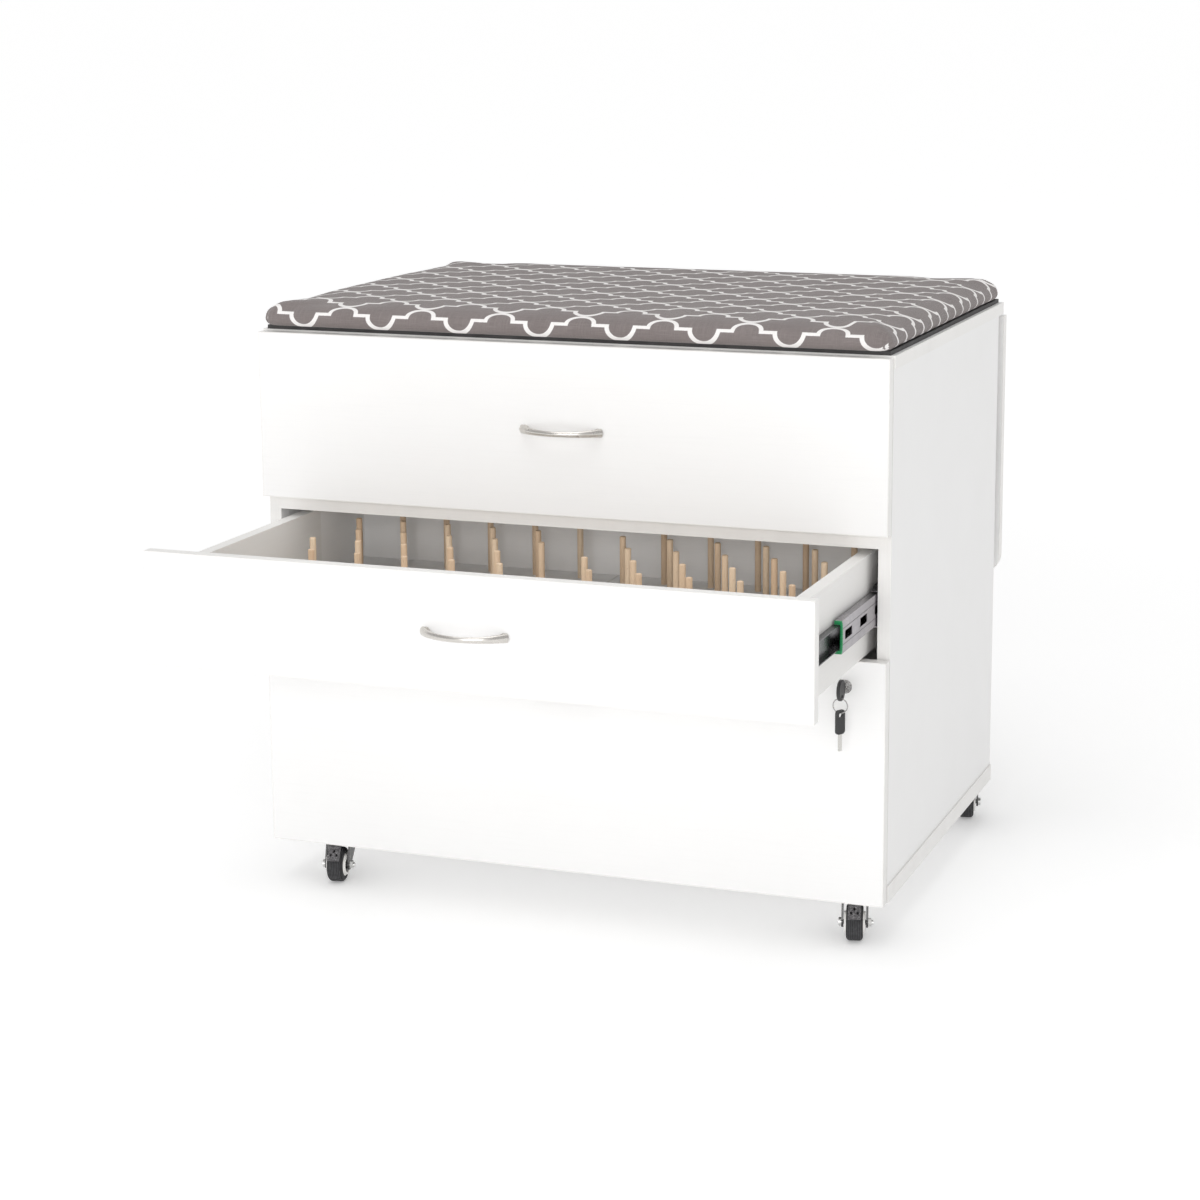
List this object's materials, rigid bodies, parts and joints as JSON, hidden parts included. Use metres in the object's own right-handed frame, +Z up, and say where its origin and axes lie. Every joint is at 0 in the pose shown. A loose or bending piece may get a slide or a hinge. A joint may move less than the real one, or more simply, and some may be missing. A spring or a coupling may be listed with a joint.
{
  "type": "sewing cabinet table",
  "caption": "Rolling sewing storage table: white board cabinet with drawers, pegs for thread, padded pressing top and a hanging drop leaf.",
  "frame": {"origin": "on the floor under the middle of the bounding box, with the thread drawer standing open as at rest", "axes": "+X to the right seen from the drawers, +Y to the back where the leaf hangs, +Z up"},
  "size_m": [0.834, 0.946, 0.767],
  "materials": {
    "white_board": "white melamine facing",
    "hardboard": "white-faced hardboard",
    "birch": "bare birch dowel",
    "steel_slide": "zinc plated",
    "green_plastic": "moulded",
    "satin_nickel": "satin nickel",
    "lock_chrome": "polished",
    "black_steel": "black powder coat",
    "tyre_rubber": "dark grey thermoplastic rubber",
    "hub_plastic": "white plastic hub",
    "key_black": "key head",
    "pad_fabric": "woven cotton, trellis pattern",
    "pad_base": "dark board",
    "zinc_hinge": "zinc plated"
  },
  "bodies": {
    "cabinet": {"side_panel_left": "white_board", "side_panel_right": "white_board", "top_board": "white_board", "bottom_board": "white_board", "back_panel": "hardboard", "front_rail": "white_board", "cabinet_rails": "steel_slide", "leaf_hinge_bases": "zinc_hinge", "stay_cabinet_lugs": "zinc_hinge", "pad_board": "pad_base", "pad": "pad_fabric", "caster_plates": "black_steel"},
    "top_drawer": {"top_drawer_front": "white_board", "top_drawer_sides": "white_board", "top_drawer_back": "white_board", "top_drawer_bottom": "hardboard", "top_drawer_handle": "satin_nickel", "top_drawer_inner_rails": "steel_slide"},
    "top_drawer_slides": {"top_drawer_middle_rails": "steel_slide"},
    "thread_drawer": {"thread_drawer_front": "white_board", "thread_drawer_sides": "white_board", "thread_drawer_back": "white_board", "thread_drawer_bottom": "hardboard", "thread_drawer_handle": "satin_nickel", "thread_drawer_inner_rails": "steel_slide", "peg_boards": "white_board", "thread_pegs": "birch"},
    "thread_drawer_slides": {"thread_drawer_middle_rails": "steel_slide", "thread_drawer_rail_clips": "green_plastic"},
    "deep_drawer": {"deep_drawer_front": "white_board", "deep_drawer_sides": "white_board", "deep_drawer_back": "white_board", "deep_drawer_bottom": "hardboard", "deep_drawer_handle": "satin_nickel", "deep_drawer_inner_rails": "steel_slide", "lock_barrel": "lock_chrome"},
    "deep_drawer_slides": {"deep_drawer_middle_rails": "steel_slide"},
    "lock": {"lock_plug": "lock_chrome", "key": "key_black"},
    "spare_key_ring": {"key_ring": "lock_chrome", "spare_key": "key_black"},
    "leaf": {"drop_leaf": "white_board", "leaf_hinge_flaps": "zinc_hinge", "stay_leaf_lugs": "zinc_hinge"},
    "lower_stays": {"stay_lower_arms": "zinc_hinge"},
    "upper_stays": {"stay_upper_arms": "zinc_hinge"},
    "caster_front_left": {"caster_fork_front_left": "black_steel"},
    "wheel_front_left": {"caster_tyre_front_left": "tyre_rubber", "caster_hub_front_left": "hub_plastic"},
    "pedal_front_left": {"brake_pedal_front_left": "black_steel"},
    "caster_front_right": {"caster_fork_front_right": "black_steel"},
    "wheel_front_right": {"caster_tyre_front_right": "tyre_rubber", "caster_hub_front_right": "hub_plastic"},
    "pedal_front_right": {"brake_pedal_front_right": "black_steel"},
    "caster_back_left": {"caster_fork_back_left": "black_steel"},
    "wheel_back_left": {"caster_tyre_back_left": "tyre_rubber", "caster_hub_back_left": "hub_plastic"},
    "caster_back_right": {"caster_fork_back_right": "black_steel"},
    "wheel_back_right": {"caster_tyre_back_right": "tyre_rubber", "caster_hub_back_right": "hub_plastic"}
  },
  "joints": [
    {"name": "top_drawer_slide", "type": "slide", "parent": "cabinet", "child": "top_drawer", "axis": [0, -1, 0], "range_m": [0, 0.45]},
    {"name": "top_drawer_middle_slide", "type": "slide", "parent": "cabinet", "child": "top_drawer_slides", "axis": [0, -1, 0], "range_m": [0, 0.225]},
    {"name": "thread_drawer_slide", "type": "slide", "parent": "cabinet", "child": "thread_drawer", "axis": [0, -1, 0], "range_m": [-0.302, 0.148]},
    {"name": "thread_drawer_middle_slide", "type": "slide", "parent": "cabinet", "child": "thread_drawer_slides", "axis": [0, -1, 0], "range_m": [-0.151, 0.074]},
    {"name": "deep_drawer_slide", "type": "slide", "parent": "cabinet", "child": "deep_drawer", "axis": [0, -1, 0], "range_m": [0, 0.45]},
    {"name": "deep_drawer_middle_slide", "type": "slide", "parent": "cabinet", "child": "deep_drawer_slides", "axis": [0, -1, 0], "range_m": [0, 0.225]},
    {"name": "leaf_hinge", "type": "hinge", "parent": "cabinet", "child": "leaf", "pos_m": [0, 0.45397, 0.713], "axis": [1, 0, 0], "range_deg": [0, 90]},
    {"name": "lower_stay_hinge", "type": "hinge", "parent": "cabinet", "child": "lower_stays", "pos_m": [0, 0.44547, 0.513], "axis": [1, 0, 0], "range_deg": [0, 132.57]},
    {"name": "upper_stay_hinge", "type": "hinge", "parent": "leaf", "child": "upper_stays", "pos_m": [0, 0.44547, 0.513], "axis": [1, 0, 0], "range_deg": [-137.43, 0]},
    {"name": "lock_turn", "type": "hinge", "parent": "deep_drawer", "child": "lock", "pos_m": [0.365, -0.14253, 0.331], "axis": [0, 1, 0], "range_deg": [0, 90]},
    {"name": "key_ring_swing", "type": "hinge", "parent": "lock", "child": "spare_key_ring", "pos_m": [0.365, -0.16453, 0.3235], "axis": [1, 0, 0], "range_deg": [-60, 10]},
    {"name": "caster_front_left_swivel", "type": "hinge", "parent": "cabinet", "child": "caster_front_left", "pos_m": [-0.338, -0.09453, 0.057], "axis": [0, 0, 1], "continuous": true},
    {"name": "wheel_front_left_spin", "type": "hinge", "parent": "caster_front_left", "child": "wheel_front_left", "pos_m": [-0.33383, -0.11816, 0.023], "axis": [0.9848, 0.1736, 0], "continuous": true},
    {"name": "pedal_front_left_lift", "type": "hinge", "parent": "caster_front_left", "child": "pedal_front_left", "pos_m": [-0.33487, -0.11225, 0.0503], "axis": [-0.9848, -0.1736, 0], "range_deg": [0, 8]},
    {"name": "caster_front_right_swivel", "type": "hinge", "parent": "cabinet", "child": "caster_front_right", "pos_m": [0.365, -0.08653, 0.057], "axis": [0, 0, 1], "continuous": true},
    {"name": "wheel_front_right_spin", "type": "hinge", "parent": "caster_front_right", "child": "wheel_front_right", "pos_m": [0.37081, -0.10981, 0.023], "axis": [0.9703, 0.2419, 0], "continuous": true},
    {"name": "pedal_front_right_lift", "type": "hinge", "parent": "caster_front_right", "child": "pedal_front_right", "pos_m": [0.36935, -0.10399, 0.0503], "axis": [-0.9703, -0.2419, 0], "range_deg": [0, 8]},
    {"name": "caster_back_left_swivel", "type": "hinge", "parent": "cabinet", "child": "caster_back_left", "pos_m": [-0.338, 0.40547, 0.057], "axis": [0, 0, 1], "continuous": true},
    {"name": "wheel_back_left_spin", "type": "hinge", "parent": "caster_back_left", "child": "wheel_back_left", "pos_m": [-0.33301, 0.42895, 0.023], "axis": [-0.9781, 0.2079, 0], "continuous": true},
    {"name": "caster_back_right_swivel", "type": "hinge", "parent": "cabinet", "child": "caster_back_right", "pos_m": [0.389, 0.40547, 0.057], "axis": [0, 0, 1], "continuous": true},
    {"name": "wheel_back_right_spin", "type": "hinge", "parent": "caster_back_right", "child": "wheel_back_right", "pos_m": [0.3836, 0.42886, 0.023], "axis": [-0.9744, -0.225, 0], "continuous": true}
  ],
  "couplings": [
    {"joint": "top_drawer_middle_slide", "follows": "top_drawer_slide", "ratio": 0.5},
    {"joint": "thread_drawer_middle_slide", "follows": "thread_drawer_slide", "ratio": 0.5},
    {"joint": "deep_drawer_middle_slide", "follows": "deep_drawer_slide", "ratio": 0.5},
    {"joint": "lower_stay_hinge", "follows": "leaf_hinge", "ratio": 1.473},
    {"joint": "upper_stay_hinge", "follows": "leaf_hinge", "ratio": -1.527}
  ]
}
